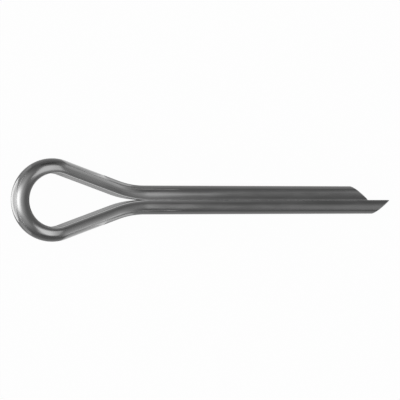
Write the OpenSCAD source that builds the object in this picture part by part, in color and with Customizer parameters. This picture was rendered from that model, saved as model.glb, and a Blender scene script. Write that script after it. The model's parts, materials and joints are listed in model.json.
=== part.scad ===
// Cotter pin: a half-round wire folded back on itself. Its two legs lie flat to flat and make
// a round shank, the fold is a teardrop eye, and both ends are cut on a slant.
//
// X runs along the shank from the throat to the tips, Y across the two legs and Z through the
// eye. The origin is on the shank's axis at the throat, where the straight legs begin. The pin
// lies on its side, as it rests on a bench. All lengths are in millimetres.

/* [Wire] */
// Diameter of the round shank that the two legs make
shank_d = 5.68; // [3:0.01:9]
// Gap left between the flats of the two legs
leg_gap = 0.04; // [0.02:0.01:0.4]
// Rounding of the wire's two long edges
edge_r = 0.18; // [0.05:0.01:0.5]
// How far the long edges stand inside the shank's full circle
edge_trim = 0.01; // [0.01:0.01:0.2]

/* [Eye] */
// Inside diameter of the eye's round end
eye_d = 10.35; // [7:0.05:16]
// Length of the straight run on each side of the eye
side_l = 11.15; // [6:0.05:24]
// Bend radius of the flat at the throat, where each side turns into its leg
throat_r = 18.75; // [9:0.05:40]

/* [Legs] */
// Length of the short leg, from the throat to its tip
short_leg = 47.5; // [15:0.1:90]
// How far the long leg's tip stands past the short one's
prong_reach = 4.95; // [1:0.05:15]
// Angle between the slant cut at each leg's end and the leg's flat
tip_angle = 45; // [30:1:80]

/* [Hidden] */
$fn = 96;
steel_grey = [0.44, 0.44, 0.45];

shank_r = shank_d / 2;
// Distances from the shank's axis, or from the wire section's centre, which lies on it
flat_out = leg_gap / 2;
edge_out = shank_r - edge_trim;
round_out = edge_out - edge_r;
// Distances from the wire section's centre to the centres of the two bends
throat_c = throat_r + flat_out;
eye_c = eye_d / 2 - flat_out;
// The slope at which the sides meet the throat, so that the eye's centre lies on the shank's axis
bends_c = throat_c + eye_c;
side_angle = acos(throat_c / norm([bends_c, side_l])) - atan2(side_l, bends_c);
// How far each bend is turned, in whole degrees, before it is cut at the middle of the throat
// or of the eye
spare_turn = 20;
throat_turn = ceil(side_angle / 2) + spare_turn;
eye_turn = ceil(90 + side_angle) + spare_turn;
long_leg = short_leg + prong_reach;
// Edge of a block that covers the whole pin
block = 3 * (long_leg + side_l + throat_r + eye_d + shank_d);

// The wire's cross-section. Its centre is the shank's axis and its flat faces -X.
module wire_section() {
    intersection() {
        circle(r = shank_r);
        union() {
            translate([flat_out, -round_out]) square([shank_r, 2 * round_out]);
            translate([flat_out + edge_r, -edge_out]) square([shank_r, 2 * edge_out]);
            for (side = [-1, 1])
                translate([flat_out + edge_r, side * round_out]) circle(r = edge_r);
        }
    }
}

// Straight wire along +X from the origin, with its flat facing -Y
module run(length) {
    rotate([90, 0, 90]) linear_extrude(length) wire_section();
}

// Wire that ends at the origin, bent so that its flat is on the outside of the bend
module throat_bend() {
    translate([0, throat_c, 0])
        rotate_extrude(angle = throat_turn, start = 270 - throat_turn)
            translate([throat_c, 0]) mirror([1, 0]) wire_section();
}

// Wire that starts at the origin, bent so that its flat is on the inside of the bend
module eye_bend() {
    translate([0, -eye_c, 0])
        rotate_extrude(angle = eye_turn, start = 90 - eye_turn)
            translate([eye_c, 0]) wire_section();
}

// A block whose face passes through the origin and looks along -X
module block_ahead() {
    translate([0, -block / 2, -block / 2]) cube(block);
}

// A leg with its slant cut, which leaves the tip on the flat side
module leg(length) {
    difference() {
        run(length + shank_d);
        translate([length, flat_out, 0]) rotate([0, 0, 90 - tip_angle]) block_ahead();
    }
}

// One side of the eye with the round end that follows it
module eye_side() {
    run(side_l);
    translate([side_l, 0, 0]) eye_bend();
}

// What runs out of the throat on one side of its middle, seen from the centre of the bend
module from_throat() {
    intersection() {
        rotate([0, 0, side_angle / 2]) translate([0, -throat_c, 0]) {
            throat_bend();
            children();
        }
        block_ahead();
    }
}

// Half of the pin on the +Y side: a leg, the throat, a side and half of the round end
module half_pin(leg_length) {
    intersection() {
        translate([0, throat_c, 0]) rotate([0, 0, -side_angle / 2]) {
            from_throat() leg(leg_length);
            mirror([1, 0, 0]) from_throat() eye_side();
        }
        rotate([0, 0, 90]) block_ahead();
    }
}

module cotter_pin() {
    color(steel_grey) {
        half_pin(short_leg);
        mirror([0, 1, 0]) half_pin(long_leg);
    }
}

cotter_pin();
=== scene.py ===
"""Visual model of a cotter pin: one half-round steel wire, folded into an eye and a split shank.

The wire is swept along its real route as one mesh. It stands for the CAD solid of the same
shape, with its long edges rounded, its surface drawn and its two ends sheared. Lengths are in
millimetres inside the classes and in metres in the meshes.
"""
import json
import logging
import math
from dataclasses import dataclass
from enum import Enum, IntEnum

import bmesh
import bpy
from mathutils import Matrix, Vector, noise


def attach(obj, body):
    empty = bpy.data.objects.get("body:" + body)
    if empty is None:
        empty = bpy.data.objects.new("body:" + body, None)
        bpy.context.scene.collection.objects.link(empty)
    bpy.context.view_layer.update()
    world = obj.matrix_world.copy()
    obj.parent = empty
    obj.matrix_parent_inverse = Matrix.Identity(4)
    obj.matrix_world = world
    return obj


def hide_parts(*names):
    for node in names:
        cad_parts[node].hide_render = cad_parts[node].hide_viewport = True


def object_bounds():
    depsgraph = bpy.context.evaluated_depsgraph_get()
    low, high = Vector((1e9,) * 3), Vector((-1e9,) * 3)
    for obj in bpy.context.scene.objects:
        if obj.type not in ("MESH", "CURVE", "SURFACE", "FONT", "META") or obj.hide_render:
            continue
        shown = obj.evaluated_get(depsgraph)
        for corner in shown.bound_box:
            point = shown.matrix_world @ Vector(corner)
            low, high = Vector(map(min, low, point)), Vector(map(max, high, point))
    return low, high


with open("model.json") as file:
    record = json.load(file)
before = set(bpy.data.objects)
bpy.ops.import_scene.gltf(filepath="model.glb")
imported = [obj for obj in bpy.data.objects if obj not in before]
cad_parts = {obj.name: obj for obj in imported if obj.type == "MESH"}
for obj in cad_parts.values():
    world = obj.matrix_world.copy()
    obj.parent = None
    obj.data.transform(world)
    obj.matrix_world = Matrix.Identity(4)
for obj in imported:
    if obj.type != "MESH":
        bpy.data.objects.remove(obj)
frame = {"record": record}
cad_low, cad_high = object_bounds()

LOG = logging.getLogger("cotter_pin")
MM = 0.001
QUARTER_TURN = math.pi / 2
WHITE = (1, 1, 1, 1)
NODE = "cotter_pin"

# The vertex attribute with each point's place (along, out, up) on the straightened wire.
WIRE_COORDS = "straightened_wire"

# Most values of a noise pattern lie between these two.
NOISE_LOW = 0.3
NOISE_HIGH = 0.7

# Each lamp is raised this many millimetres more than the one before it, so that none coincide.
LAMP_LAYER = 0.05

# A ring of points round the wire, each with its real place and its straightened one.
Ring = list[tuple[Vector, Vector]]


class Surface(IntEnum):
    """The two kinds of surface on the wire, by material slot."""

    DRAWN = 0
    SHEARED = 1


class End(Enum):
    """The wire's two ends, by which way the route runs out there."""

    SHORT = -1
    LONG = 1


class LongEdge(Enum):
    """The wire's two long edges, by the sign of their height."""

    UPPER = 1
    LOWER = -1


class Output(Enum):
    """What a node tree is for, by the name of its last node."""

    MATERIAL = "OutputMaterial"
    WORLD = "OutputWorld"


@dataclass(frozen=True)
class SectionPoint:
    """A point on the wire's cross-section, in millimetres from the section's centre.

    The centre is the shank's axis. `out` runs away from the wire's flat and `up` across it.
    """

    out: float
    up: float
    normal_out: float
    normal_up: float

    def inset(self, depth: float) -> tuple[float, float]:
        """The point moved into the wire by a depth."""
        return self.out - depth * self.normal_out, self.up - depth * self.normal_up


@dataclass(frozen=True)
class WireSection:
    """The half-round cross-section: a flat, two rounded long edges and a half circle.

    Each long edge is a soft shoulder, tangent to the half circle, and a tighter arris between
    the shoulder and the flat.
    """

    shank_radius: float
    leg_gap: float = 0.008
    shoulder_radius: float = 0.38
    shoulder_tilt: float = math.radians(42)
    arris_radius: float = 0.03
    flat_steps: int = 8
    shoulder_steps: int = 6
    arris_steps: int = 4
    round_steps: int = 56
    edge_guard: float = 0.05

    @property
    def flat_out(self) -> float:
        """How far the flat lies from the shank's axis."""
        return self.leg_gap / 2

    @property
    def shoulder_centre(self) -> Vector:
        """The upper shoulder's centre.

        Returns:
            The centre (out, up), so placed that the shoulder touches the half circle.
        """
        step = self.shoulder_radius - self.arris_radius
        out = self.flat_out + self.arris_radius + step * math.sin(self.shoulder_tilt)
        return Vector((out, math.sqrt((self.shank_radius - self.shoulder_radius) ** 2 - out**2)))

    @property
    def arris_centre(self) -> Vector:
        """The upper arris's centre.

        Returns:
            The centre (out, up), so placed that the arris touches the shoulder and the flat.
        """
        step = self.shoulder_radius - self.arris_radius
        tilt = self.shoulder_tilt
        return self.shoulder_centre + step * Vector((-math.sin(tilt), math.cos(tilt)))

    @property
    def round_turn(self) -> float:
        """Angle above `out` at which the half circle runs into the shoulder."""
        return math.atan2(self.shoulder_centre.y, self.shoulder_centre.x)

    def _along_flat(self) -> list[SectionPoint]:
        """Points up the flat.

        Returns:
            The points, with one close to each end to keep the flat's shading flat.
        """
        guard = self.arris_centre.y - self.edge_guard
        inner = [guard * (2 * i / self.flat_steps - 1) for i in range(self.flat_steps + 1)]
        return [SectionPoint(self.flat_out, up, -1, 0) for up in inner]

    def _round_edge(self, edge: LongEdge) -> list[SectionPoint]:
        """Points round one long edge, from the flat to the half circle.

        Args:
            edge: which long edge it is.

        Returns:
            The points in order, starting on the flat.
        """
        crest = QUARTER_TURN + self.shoulder_tilt
        arcs = (
            (self.arris_centre, self.arris_radius, math.pi, crest, self.arris_steps),
            (self.shoulder_centre, self.shoulder_radius, crest, self.round_turn, self.shoulder_steps),
        )
        side = edge.value
        points = []
        for centre, radius, start, stop, steps in arcs:
            for i in range(1 if points else 0, steps + 1):
                turn = start + (stop - start) * i / steps
                normal = Vector((math.cos(turn), math.sin(turn)))
                at = centre + radius * normal
                points.append(SectionPoint(at.x, side * at.y, normal.x, side * normal.y))
        return points

    def _round_side(self) -> list[SectionPoint]:
        """Points round the half circle, between the roundings of the two long edges.

        Returns:
            The points in order, from the upper long edge down to the lower one.
        """
        points = []
        for i in range(1, self.round_steps):
            turn = self.round_turn * (1 - 2 * i / self.round_steps)
            cos, sin = math.cos(turn), math.sin(turn)
            points.append(SectionPoint(self.shank_radius * cos, self.shank_radius * sin, cos, sin))
        return points

    def outline(self) -> list[SectionPoint]:
        """The closed outline.

        Returns:
            Its points, once round from the bottom of the flat.
        """
        upper = self._round_edge(LongEdge.UPPER)
        lower = self._round_edge(LongEdge.LOWER)
        return self._along_flat() + upper + self._round_side() + lower[::-1]


@dataclass(frozen=True)
class Station:
    """A place on the wire's route: where the section's centre is and which way it faces.

    `along` is the length of wire past the point where the short leg meets the throat.
    """

    x: float
    y: float
    facing: float
    along: float

    def point(self, out: float, up: float, ahead: float = 0.0) -> tuple[Vector, Vector]:
        """A point of the section, in millimetres.

        Args:
            out: distance from the section's centre, away from the flat.
            up: height above the middle of the wire.
            ahead: distance along the wire's route, past the station.

        Returns:
            The point's place in the row frame and on the straightened wire.
        """
        cos, sin = math.cos(self.facing), math.sin(self.facing)
        x = self.x + out * cos - ahead * sin
        y = self.y + out * sin + ahead * cos
        return Vector((x, y, up)), Vector((self.along + ahead, out, up))


@dataclass(frozen=True)
class WireRoute:
    """The folded route: short leg, throat, side, eye, side, throat and long leg."""

    flat_out: float
    eye_diameter: float = 10.35
    side_length: float = 11.15
    throat_radius: float = 18.75
    short_leg: float = 47.5
    prong_reach: float = 4.95
    leg_step: float = 0.8
    side_step: float = 0.8
    throat_step: float = math.radians(1.2)
    eye_step: float = math.radians(2.5)

    @property
    def eye_bend(self) -> float:
        """Bend radius of the section's centre round the eye."""
        return self.eye_diameter / 2 - self.flat_out

    @property
    def throat_bend(self) -> float:
        """Bend radius of the section's centre at the throat."""
        return self.throat_radius + self.flat_out

    @property
    def side_angle(self) -> float:
        """Slope of the eye's sides, at which the eye's centre lies on the shank's axis.

        Returns:
            The slope in radians.
        """
        bends = self.eye_bend + self.throat_bend
        slant = math.hypot(bends, self.side_length)
        return math.acos(self.throat_bend / slant) - math.atan2(self.side_length, bends)

    @property
    def long_leg(self) -> float:
        """Length of the long leg, from the throat to its tip."""
        return self.short_leg + self.prong_reach

    @property
    def eye_centre(self) -> float:
        """Where the eye's centre lies on the X axis."""
        sin, cos = math.sin(self.side_angle), math.cos(self.side_angle)
        return -(self.throat_bend + self.eye_bend) * sin - self.side_length * cos

    def _leg(self, length: float) -> list[Station]:
        """The route along a leg's plain part, towards the throat.

        Args:
            length: the plain part's length, without the slant cut.

        Returns:
            The stations, up to just before the throat.
        """
        steps = math.ceil(length / self.leg_step)
        places = [length * (1 - i / steps) for i in range(steps)]
        return [Station(x, 0, QUARTER_TURN, -x) for x in places]

    def _at_throat(self, turn: float) -> Station:
        """The station at a turn round the throat's bend.

        Args:
            turn: the angle turned since the leg.

        Returns:
            The station.
        """
        x = -self.throat_bend * math.sin(turn)
        y = self.throat_bend * (1 - math.cos(turn))
        return Station(x, y, QUARTER_TURN - turn, self.throat_bend * turn)

    def _throat(self) -> list[Station]:
        """The stations round the throat, up to just before the eye's side."""
        steps = math.ceil(self.side_angle / self.throat_step)
        return [self._at_throat(self.side_angle * i / steps) for i in range(steps)]

    def _side(self) -> list[Station]:
        """The route along the eye's straight side.

        Returns:
            The stations, up to just before the round end of the eye.
        """
        start = self._at_throat(self.side_angle)
        cos, sin = math.cos(self.side_angle), math.sin(self.side_angle)
        steps = math.ceil(self.side_length / self.side_step)
        stations = []
        for i in range(steps):
            run = self.side_length * i / steps
            x, y = start.x - run * cos, start.y + run * sin
            stations.append(Station(x, y, start.facing, start.along + run))
        return stations

    def _eye(self) -> list[Station]:
        """The route round half of the eye's round end.

        Returns:
            The stations, up to and with the one on the X axis.
        """
        start = self.throat_bend * self.side_angle + self.side_length
        sweep = QUARTER_TURN + self.side_angle
        steps = math.ceil(sweep / self.eye_step)
        stations = []
        for i in range(steps + 1):
            turn = sweep * i / steps
            facing = QUARTER_TURN - self.side_angle + turn
            x = self.eye_centre + self.eye_bend * math.cos(facing)
            y = self.eye_bend * math.sin(facing)
            stations.append(Station(x, y, facing, start + self.eye_bend * turn))
        return stations

    def half(self, leg: float) -> list[Station]:
        """The route on the +Y side, from a leg's end to the far end of the eye.

        Args:
            leg: length of the leg's plain part, without its slant cut.

        Returns:
            Stations with facings from +Y round to -X.
        """
        return self._leg(leg) + self._throat() + self._side() + self._eye()

    def stations(self, bevel: float) -> list[Station]:
        """The whole route from the short leg to the long one.

        Args:
            bevel: length of the slant cut along the leg, which the stations leave out.

        Returns:
            The stations in order, without the two slant-cut ends.
        """
        upper = self.half(self.short_leg - bevel)
        lower = self.half(self.long_leg - bevel)
        middle = upper[-1].along
        mirrored = [
            Station(s.x, -s.y, -s.facing, 2 * middle - s.along) for s in reversed(lower[:-1])
        ]
        return upper + mirrored


@dataclass(frozen=True)
class SlantCut:
    """The sheared end of a leg: a slant plane with a slightly broken edge.

    `ring_shares` are the sizes of the rings that close the cut face, against the face's own.
    """

    section: WireSection
    angle: float = math.radians(45)
    edge_break: float = 0.06
    break_steps: int = 3
    shear_steps: int = 3
    relief: float = 0.02
    relief_pitch: float = 0.35
    ring_shares: tuple[float, ...] = (0.94, 0.82, 0.68, 0.52, 0.36, 0.18)

    @property
    def length(self) -> float:
        """Length of the slant along the leg."""
        return (self.section.shank_radius - self.section.flat_out) / math.tan(self.angle)

    def reach(self, out: float) -> float:
        """How far the cut plane lies past the start of the slant, at a distance from the axis."""
        return self.length - (out - self.section.flat_out) / math.tan(self.angle)

    def leg_rings(self) -> list[list[Vector]]:
        """The leg's last rings, along the slant and round its broken edge.

        Returns:
            Rings of points (ahead, out, up), from the leg outwards.
        """
        outline = self.section.outline()
        rings = []
        for i in range(1, self.shear_steps + 1):
            share = i / (self.shear_steps + 1)
            rings.append([Vector((share * self.reach(p.out), p.out, p.up)) for p in outline])
        for i in range(self.break_steps + 1):
            turn = QUARTER_TURN * i / self.break_steps
            depth = self.edge_break * (1 - math.cos(turn))
            short = self.edge_break * (1 - math.sin(turn))
            ring = []
            for point in outline:
                out, up = point.inset(depth)
                ring.append(Vector((self.reach(out) - short, out, up)))
            rings.append(ring)
        return rings

    def face_rings(self) -> list[list[Vector]]:
        """The rings that close the cut face, with its torn relief.

        Returns:
            Rings of points (ahead, out, up), from the face's edge inwards.
        """
        edge = [point.inset(self.edge_break) for point in self.section.outline()]
        middle = Vector((sum(out for out, _ in edge), sum(up for _, up in edge))) / len(edge)
        rings = []
        for share in self.ring_shares:
            ring = []
            for out, up in edge:
                at = middle + share * (Vector((out, up)) - middle)
                tear = noise.noise(Vector((at.x, at.y, 0)) / self.relief_pitch)
                depth = self.relief * (1 - share) * (1 + tear)
                ring.append(Vector((self.reach(at.x) - depth, at.x, at.y)))
            rings.append(ring)
        return rings


@dataclass(frozen=True)
class CotterPin:
    """The pin: its section swept along its route, with a slant cut at each end."""

    section: WireSection
    route: WireRoute
    cut: SlantCut

    @classmethod
    def from_frame(cls) -> "CotterPin":
        """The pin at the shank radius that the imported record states.

        Returns:
            The pin.
        """
        shank = next(m for m in frame["record"]["mounts"] if m["name"] == "shank")
        section = WireSection(shank_radius=shank["dims"]["r_mm"])
        return cls(section, WireRoute(flat_out=section.flat_out), SlantCut(section))

    def _tip(self, station: Station, end: End) -> list[Ring]:
        """The rings of one end, from the leg outwards.

        Args:
            station: the last station of the plain leg.
            end: which end it is.

        Returns:
            The rings.
        """
        rings = self.cut.leg_rings() + self.cut.face_rings()
        return [
            [station.point(out, up, end.value * ahead) for ahead, out, up in ring]
            for ring in rings
        ]

    def _rings(self) -> list[Ring]:
        """All the rings of the wire.

        Returns:
            The rings, from the middle of the short leg's cut face to that of the long one's.
        """
        stations = self.route.stations(self.cut.length)
        outline = self.section.outline()
        plain = [[station.point(p.out, p.up) for p in outline] for station in stations]
        short_tip = self._tip(stations[0], End.SHORT)
        long_tip = self._tip(stations[-1], End.LONG)
        return short_tip[::-1] + plain + long_tip

    def build(self) -> bpy.types.Object:
        """Makes the pin's mesh, with the straightened wire's coordinates on its vertices.

        Returns:
            The object, linked to the scene.
        """
        mesh = bmesh.new()
        coords = mesh.verts.layers.float_vector.new(WIRE_COORDS)
        rows = []
        for ring in self._rings():
            row = []
            for place, straight in ring:
                vertex = mesh.verts.new(place * MM)
                vertex[coords] = straight
                row.append(vertex)
            rows.append(row)
        face_bands = len(self.cut.ring_shares)
        last_plain = len(rows) - 1 - face_bands
        for i, (near, far) in enumerate(zip(rows, rows[1:])):
            drawn = face_bands <= i < last_plain
            for j in range(len(near)):
                k = (j + 1) % len(near)
                face = mesh.faces.new((near[j], near[k], far[k], far[j]))
                face.material_index = Surface.DRAWN if drawn else Surface.SHEARED
        for row in (rows[0], rows[-1]):
            mesh.faces.new(row).material_index = Surface.SHEARED
        for face in mesh.faces:
            face.smooth = True
        bmesh.ops.recalc_face_normals(mesh, faces=mesh.faces)
        return link_mesh("pin_wire", mesh)

    def dress(self, pin: bpy.types.Object) -> None:
        """Gives the pin its finishes, in the order of Surface.

        Args:
            pin: the pin's object.
        """
        for finish in (DrawnSteel(), ShearedSteel()):
            pin.data.materials.append(finish.material())
            LOG.info("finish %s", finish)


def link_mesh(name: str, mesh: bmesh.types.BMesh) -> bpy.types.Object:
    """Makes an object of a finished mesh.

    Args:
        name: the object's name.
        mesh: the mesh, which is freed.

    Returns:
        The object, linked to the scene.
    """
    data = bpy.data.meshes.new(name)
    mesh.to_mesh(data)
    mesh.free()
    shape = bpy.data.objects.new(name, data)
    bpy.context.scene.collection.objects.link(shape)
    return shape


class Nodes:
    """A node tree with short calls to add nodes and join them."""

    def __init__(self, tree: bpy.types.NodeTree) -> None:
        """Empties the tree.

        Args:
            tree: the material's or the world's node tree.
        """
        self.tree = tree
        tree.nodes.clear()

    def add(self, kind: str, inputs: dict | None = None, **settings: object) -> bpy.types.Node:
        """Adds a node.

        Args:
            kind: the node's type name, without its ShaderNode prefix.
            inputs: values or output sockets, by the input's name or number.
            settings: the node's own properties.

        Returns:
            The node.
        """
        node = self.tree.nodes.new("ShaderNode" + kind)
        for name, value in settings.items():
            setattr(node, name, value)
        for name, value in (inputs or {}).items():
            socket = node.inputs[name]
            if isinstance(value, bpy.types.NodeSocket):
                self.tree.links.new(value, socket)
            else:
                socket.default_value = value
        return node

    def math(self, operation: str, *values: object) -> bpy.types.NodeSocket:
        """A Math node's result for one to three values or sockets."""
        return self.add("Math", dict(enumerate(values)), operation=operation).outputs[0]

    def dot(self, first: object, second: object) -> bpy.types.NodeSocket:
        """The dot product of two vectors or sockets."""
        node = self.add("VectorMath", {0: first, 1: second}, operation="DOT_PRODUCT")
        return node.outputs["Value"]

    def between(
        self, value: object, low: float, high: float, to_low: float, to_high: float
    ) -> bpy.types.NodeSocket:
        """A value eased from one range to another.

        Args:
            value: a number or a socket.
            low: the value that gives to_low.
            high: the value that gives to_high.
            to_low: the result at low and beyond it.
            to_high: the result at high and beyond it.

        Returns:
            The result's socket.
        """
        inputs = {"Value": value, "From Min": low, "From Max": high}
        inputs |= {"To Min": to_low, "To Max": to_high}
        return self.add("MapRange", inputs, interpolation_type="SMOOTHSTEP").outputs["Result"]

    def wire_noise(
        self, cell: tuple[float, float, float], detail: float, roughness: float = 0.5
    ) -> bpy.types.NodeSocket:
        """A noise pattern that runs with the wire, as if it were straight.

        Args:
            cell: the size of its cells along, out and up, in millimetres.
            detail: how many finer levels it has.
            roughness: how strong each level is against the one before.

        Returns:
            The pattern's value.
        """
        straight = self.add("Attribute", attribute_name=WIRE_COORDS).outputs["Vector"]
        scale = [1 / size for size in cell]
        at = self.add("Mapping", {"Vector": straight, "Scale": scale}).outputs[0]
        inputs = {"Vector": at, "Scale": 1.0, "Detail": detail, "Roughness": roughness}
        return self.add("TexNoise", inputs).outputs[0]

    def swing(
        self, pattern: object, middle: float, spread: float, layers: int = 1
    ) -> bpy.types.NodeSocket:
        """A value that swings with a noise pattern.

        Args:
            pattern: the noise pattern, or the sum of several.
            middle: the value's middle.
            spread: how far it swings to either side.
            layers: how many noise patterns the sum has.

        Returns:
            The value.
        """
        low, high = layers * NOISE_LOW, layers * NOISE_HIGH
        return self.between(pattern, low, high, middle - spread, middle + spread)

    def bump(
        self, height: object, depth: float, normal: object | None = None
    ) -> bpy.types.NodeSocket:
        """The normal of a surface with a fine relief.

        Args:
            height: the relief's pattern, from 0 to 1.
            depth: how far 1 stands above 0, in millimetres.
            normal: the normal that the relief is laid on, where it isn't the surface's own.

        Returns:
            The normal.
        """
        inputs = {"Height": height, "Distance": depth * MM, "Strength": 1.0}
        if normal is not None:
            inputs["Normal"] = normal
        return self.add("Bump", inputs).outputs[0]

    def seen(self, ray: bpy.types.bpy_prop_collection) -> bpy.types.NodeSocket:
        """1 for the camera's rays, also behind glass, and 0 for others."""
        return self.math("MAXIMUM", ray["Is Camera Ray"], ray["Is Transmission Ray"])

    def mixed(
        self, share: object, first: bpy.types.Node, second: bpy.types.Node
    ) -> bpy.types.NodeSocket:
        """Two shaders mixed, by the share of the second."""
        inputs = {"Fac": share, 1: first.outputs[0], 2: second.outputs[0]}
        return self.add("MixShader", inputs).outputs[0]

    def finish(self, output: Output, shader: bpy.types.NodeSocket) -> None:
        """Adds the last node, which shows a shader."""
        self.add(output.value, {"Surface": shader})

    def finish_metal(self, tone: object, roughness: object, normal: object) -> None:
        """Ends a material's nodes as grey metal.

        Args:
            tone: how light its grey is.
            roughness: how dull it is.
            normal: its normal.
        """
        grey = self.add("CombineColor", {"Red": tone, "Green": tone, "Blue": tone}).outputs[0]
        inputs = {"Base Color": grey, "Metallic": 1.0, "Roughness": roughness, "Normal": normal}
        metal = self.add("BsdfPrincipled", inputs)
        self.finish(Output.MATERIAL, metal.outputs[0])


def new_material(name: str) -> bpy.types.Material:
    """Makes a material whose nodes are still to be added.

    Args:
        name: its name.

    Returns:
        The material.
    """
    material = bpy.data.materials.new(name)
    material.use_nodes = True
    return material


@dataclass(frozen=True)
class DrawnSteel:
    """Bright drawn wire: faint lines along its length and slow changes of tone and gloss."""

    tone: float = 0.213
    tone_spread: float = 0.013
    roughness: float = 0.16
    roughness_spread: float = 0.03
    line_width: float = 0.22
    line_length: float = 14.0
    line_detail: float = 1.0
    line_depth: float = 0.0008
    patch_width: float = 1.3
    patch_length: float = 6.0
    patch_detail: float = 2.0
    patch_depth: float = 0.004

    def material(self) -> bpy.types.Material:
        """Makes the material.

        Returns:
            The material.
        """
        material = new_material("drawn_steel")
        nodes = Nodes(material.node_tree)
        line = (self.line_length, self.line_width, self.line_width)
        patch = (self.patch_length, self.patch_width, self.patch_width)
        lines = nodes.wire_noise(line, self.line_detail)
        patches = nodes.wire_noise(patch, self.patch_detail)
        both = nodes.math("ADD", lines, patches)
        tone = nodes.swing(both, self.tone, self.tone_spread, layers=2)
        rough = nodes.swing(patches, self.roughness, self.roughness_spread)
        waves = nodes.bump(patches, self.patch_depth)
        nodes.finish_metal(tone, rough, nodes.bump(lines, self.line_depth, waves))
        return material


@dataclass(frozen=True)
class ShearedSteel:
    """A sheared end: duller steel with short tear lines across the cut."""

    tone: float = 0.26
    tone_spread: float = 0.06
    roughness: float = 0.38
    tear_width: float = 0.05
    tear_length: float = 0.6
    tear_detail: float = 4.0
    tear_grain: float = 0.6
    tear_depth: float = 0.008

    def material(self) -> bpy.types.Material:
        """Makes the material.

        Returns:
            The material.
        """
        material = new_material("sheared_steel")
        nodes = Nodes(material.node_tree)
        tear = (self.tear_length, self.tear_length, self.tear_width)
        tears = nodes.wire_noise(tear, self.tear_detail, self.tear_grain)
        tone = nodes.swing(tears, self.tone, self.tone_spread)
        nodes.finish_metal(tone, self.roughness, nodes.bump(tears, self.tear_depth))
        return material


@dataclass(frozen=True)
class SoftBox:
    """A soft-edged rectangle of light, far away in one direction.

    Its angles are in degrees. A negative radiance takes light out of the surround, as a dark
    card would.
    """

    name: str
    azimuth: float
    elevation: float
    half_width: float
    half_height: float
    fade: float
    radiance: float

    def add_to(self, nodes: Nodes, direction: bpy.types.NodeSocket) -> bpy.types.NodeSocket:
        """Adds the box to the world.

        Args:
            nodes: the world's nodes.
            direction: the direction looked in.

        Returns:
            The box's radiance in that direction.
        """
        turn, lift = math.radians(self.azimuth), math.radians(self.elevation)
        centre = Vector(
            (math.cos(turn) * math.cos(lift), math.sin(turn) * math.cos(lift), math.sin(lift))
        )
        across = Vector((-math.sin(turn), math.cos(turn), 0))
        upward = centre.cross(across)
        ahead = nodes.math("GREATER_THAN", nodes.dot(direction, centre), 0.0)
        light = nodes.math("MULTIPLY", ahead, self.radiance)
        for axis, half in ((across, self.half_width), (upward, self.half_height)):
            off = nodes.math("ABSOLUTE", nodes.dot(direction, axis))
            inner = math.sin(max(math.radians(half - self.fade), 0))
            outer = math.sin(min(math.radians(half + self.fade), QUARTER_TURN))
            light = nodes.math("MULTIPLY", light, nodes.between(off, inner, outer, 1, 0))
        return light


@dataclass(frozen=True)
class Studio:
    """The world: an even surround with soft boxes in it, seen itself as a white backdrop.

    Most of the boxes' numbers, and the surround, were worked out by a fitting program and then
    rounded.
    """

    surround: float = 0.38
    boxes: tuple[SoftBox, ...] = (
        SoftBox("upper_side", 87, 47, 14.5, 21, 9, 0.82),
        SoftBox("lower_side", -89, 38, 13, 19, 8, 1.46),
        SoftBox("key", 180, 13, 23, 15, 15, 3.75),
        SoftBox("upper_wing", 37, 3, 3, 22, 20, 2.18),
        SoftBox("lower_wing", -35, 6, 12, 21, 24, 1.97),
        SoftBox("upper_wing_mid", 54, 18, 6, 8, 8, 0.56),
        SoftBox("upper_wing_low", 52, 2, 6, 6, 6, 1.14),
        SoftBox("lower_wing_low", -52, 2, 6, 6, 6, 1.07),
        SoftBox("upper_fill", 156, 13, 30, 30, 18, 0.79),
        SoftBox("lower_fill", -157, 15, 33, 27, 17, 0.68),
        SoftBox("top", 8, 74, 19, 4, 5, 0.52),
        SoftBox("crown", 181, 49, 23, 8, 15, 0.52),
        SoftBox("front_card", 0, 62, 30, 8, 6, -0.08),
        SoftBox("upper_flag", 86, 2, 13, 9, 4, -0.26),
        SoftBox("lower_flag", -86, 2, 13, 9, 4, -0.11),
    )

    def build(self) -> None:
        """Makes the world and shows it."""
        world = bpy.data.worlds.new("studio")
        world.use_nodes = True
        nodes = Nodes(world.node_tree)
        direction = nodes.add("TexCoord").outputs["Generated"]
        total = self.surround
        for box in self.boxes:
            total = nodes.math("ADD", total, box.add_to(nodes, direction))
        light = nodes.add("Background", {"Color": WHITE, "Strength": total})
        backdrop = nodes.add("Background", {"Color": WHITE, "Strength": 1.0})
        seen = nodes.seen(nodes.add("LightPath").outputs)
        nodes.finish(Output.WORLD, nodes.mixed(seen, light, backdrop))
        bpy.context.scene.world = world


@dataclass(frozen=True)
class PanelLamp:
    """A flat lamp, unseen itself, that lies on the bench, hangs over it or stands on it.

    Lengths are in millimetres and angles in degrees. `azimuth` is the way that its length runs
    and `pitch` its turn about its length: 0 faces down, 90 faces sideways and 180 faces up.
    """

    name: str
    x: float
    y: float
    length: float
    width: float
    azimuth: float
    radiance: float
    height: float = 0.0
    pitch: float = 180.0

    def build(self, floor: float) -> bpy.types.Object:
        """Makes the lamp.

        Args:
            floor: the height in metres that the lamp's own height counts from.

        Returns:
            The lamp.
        """
        data = bpy.data.lights.new(self.name, "AREA")
        data.shape = "RECTANGLE"
        data.size, data.size_y = self.length * MM, self.width * MM
        data.energy = self.radiance * math.pi * data.size * data.size_y
        lamp = bpy.data.objects.new(self.name, data)
        lamp.location = (self.x * MM, self.y * MM, floor + self.height * MM)
        lamp.rotation_euler = (math.radians(self.pitch), 0, math.radians(self.azimuth))
        lamp.visible_camera = False
        bpy.context.scene.collection.objects.link(lamp)
        return lamp


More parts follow.
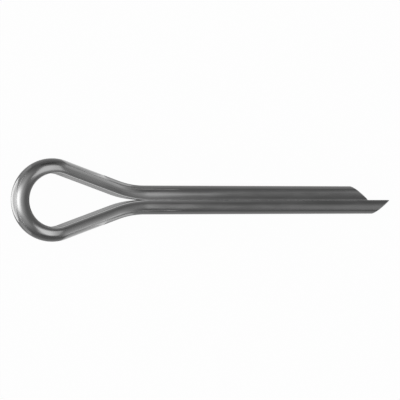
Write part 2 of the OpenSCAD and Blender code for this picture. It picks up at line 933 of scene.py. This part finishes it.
# Most of the radiances were worked out by a fitting program and then rounded.
LAMPS = (
    PanelLamp("left_rim", -28.9, 0, 3.2, 13, 0, 2.45),
    PanelLamp("left_core", -49.6, 0, 38, 15, 0, 1.61),
    PanelLamp("left_mid", -45, 0, 22, 60, 0, 0.46),
    PanelLamp("left_far", -90, 0, 60, 120, 0, 3.06),
    PanelLamp("upper_corner", -28.5, 11, 8, 7, 120, 0.28),
    PanelLamp("lower_corner", -28.5, -11, 8, 7, -120, 0.46),
    PanelLamp("upper_neck", -2, 20, 34, 9, 53, 0.73),
    PanelLamp("lower_neck", -2, -20, 34, 9, -53, 0.74),
    PanelLamp("upper_throat", 3, 21.6, 32, 5.9, 66, 0.78),
    PanelLamp("lower_throat", 3.1, -21.6, 32, 6.1, -66, 0.88),
    PanelLamp("inner_pad", -8.5, 0, 15, 9, 0, 0.06),
    PanelLamp("upper_rail", 6, 36, 17, 3.4, 180, 0.54, 1.7, 90),
    PanelLamp("upper_blind", 16.7, 36, 10, 3.4, 85, 1.05, 1.7, 90),
    PanelLamp("lower_rail", 6, -36, 17, 3.4, 0, 0.38, 1.7, 90),
    PanelLamp("lower_blind", 16.7, -36, 10, 3.4, 95, 1.2, 1.7, 90),
    PanelLamp("upper_hung", 24, 40, 52, 14, 61, 0.2, 60, 0),
    PanelLamp("lower_hung", 24, -40, 52, 14, -61, 0.11, 60, 0),
    PanelLamp("upper_hung_far", 38, 66, 36, 16, 61, 0.2, 60, 0),
    PanelLamp("upper_panel", -4.5, 193, 230, 118, 75, 0.94, 154, 0),
    PanelLamp("lower_panel", 20.5, -286, 352, 118, -75, 0.82, 154, 0),
    PanelLamp("upper_panel_edge", 66, 181, 230, 24, 75, 1.24, 154, 0),
    PanelLamp("lower_panel_edge", 91, -274, 352, 24, -75, 0.96, 154, 0),
    PanelLamp("upper_panel_end", 91, 181, 230, 24, 75, 0.14, 154, 0),
)


@dataclass(frozen=True)
class Bench:
    """The plain pale floor that the pin lies on.

    `lift_seen` is the share of white that the floor is mixed with where the camera sees it.
    `mirrored_glow` is a painted glow: the share of white that the floor gives off only where the
    steel mirrors it, up to `glow_near` millimetres to either side of the pin's axis, and it runs out
    at
    `glow_far`. It paints a brighter reflection into the steel's sides.
    """

    radius: float = 3000.0
    sides: int = 64
    tone: float = 0.32
    lift_seen: float = 0.98
    # Painted glow: white that the floor gives off only to the steel's reflections, near the pin.
    mirrored_glow: float = 0.36
    glow_near: float = 10.0
    glow_far: float = 22.0

    def build(self, height: float) -> bpy.types.Object:
        """Makes the floor.

        Args:
            height: its height in metres.

        Returns:
            The floor.
        """
        mesh = bmesh.new()
        bmesh.ops.create_circle(mesh, cap_ends=True, radius=self.radius * MM, segments=self.sides)
        bench = link_mesh("bench", mesh)
        bench.location.z = height
        bench.data.materials.append(self._material())
        return bench

    def _material(self) -> bpy.types.Material:
        """Makes the floor's material, which shows as nearly white and keeps the pin's shadow, and
        which gives off a painted glow near the pin that only the steel's reflections see.

        Returns:
            The material.
        """
        material = new_material("pale_bench")
        nodes = Nodes(material.node_tree)
        ray = nodes.add("LightPath").outputs
        place = nodes.add("NewGeometry").outputs["Position"]
        away = nodes.math("ABSOLUTE", nodes.add("SeparateXYZ", {0: place}).outputs["Y"])
        near, far = self.glow_near * MM, self.glow_far * MM
        # Painted glow: a strip of white along the pin that only the steel's reflections see, to
        # brighten its sides.
        mirrored = nodes.between(away, near, far, self.mirrored_glow, 0)
        seen = nodes.math("MULTIPLY", nodes.seen(ray), self.lift_seen)
        lift = nodes.math("MULTIPLY_ADD", ray["Is Glossy Ray"], mirrored, seen)
        plain = nodes.add("BsdfDiffuse", {"Color": (self.tone, self.tone, self.tone, 1)})
        white = nodes.add("Emission", {"Color": WHITE, "Strength": 1.0})
        nodes.finish(Output.MATERIAL, nodes.mixed(lift, plain, white))
        return material


@dataclass(frozen=True)
class Viewpoint:
    """The camera: it looks down on the pin at a slant, from the eye's side.

    `aim` is where it looks on the X axis and `distance` how far off it is, in millimetres, and
    `tilt` is how far it leans from straight above.
    """

    aim: float = 11.7
    distance: float = 302.0
    tilt: float = math.radians(20.5)
    sensor: float = 36.0
    lens: float = 136.7

    def build(self) -> bpy.types.Object:
        """Makes the camera and looks through it.

        Returns:
            The camera.
        """
        right = Vector((math.cos(self.tilt), 0, math.sin(self.tilt)))
        up = Vector((0, 1, 0))
        back = right.cross(up)
        data = bpy.data.cameras.new("camera")
        data.sensor_width = self.sensor
        data.lens = self.lens
        camera = bpy.data.objects.new("camera", data)
        turn = Matrix((right, up, back)).transposed().to_4x4()
        place = (Vector((self.aim, 0, 0)) + self.distance * back) * MM
        camera.matrix_world = Matrix.Translation(place) @ turn
        bpy.context.scene.collection.objects.link(camera)
        bpy.context.scene.camera = camera
        return camera


def main() -> None:
    """Builds the pin, its finishes, the floor, the light and the camera."""
    logging.basicConfig(level=logging.INFO, format="%(name)s: %(message)s")
    wire = CotterPin.from_frame()
    pin = wire.build()
    wire.dress(pin)
    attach(pin, "root")
    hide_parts(NODE)
    LOG.info("piece %s: %d faces", pin.name, len(pin.data.polygons))
    bench = Bench().build(cad_low.z)
    LOG.info("stage %s", bench.name)
    Studio().build()
    for layer, lamp in enumerate(LAMPS, start=1):
        lamp.build(cad_low.z + layer * LAMP_LAYER * MM)
    LOG.info("lamps: %d", len(LAMPS))
    Viewpoint().build()
    bpy.context.scene.view_settings.view_transform = "Standard"


if __name__ == "__main__":
    main()
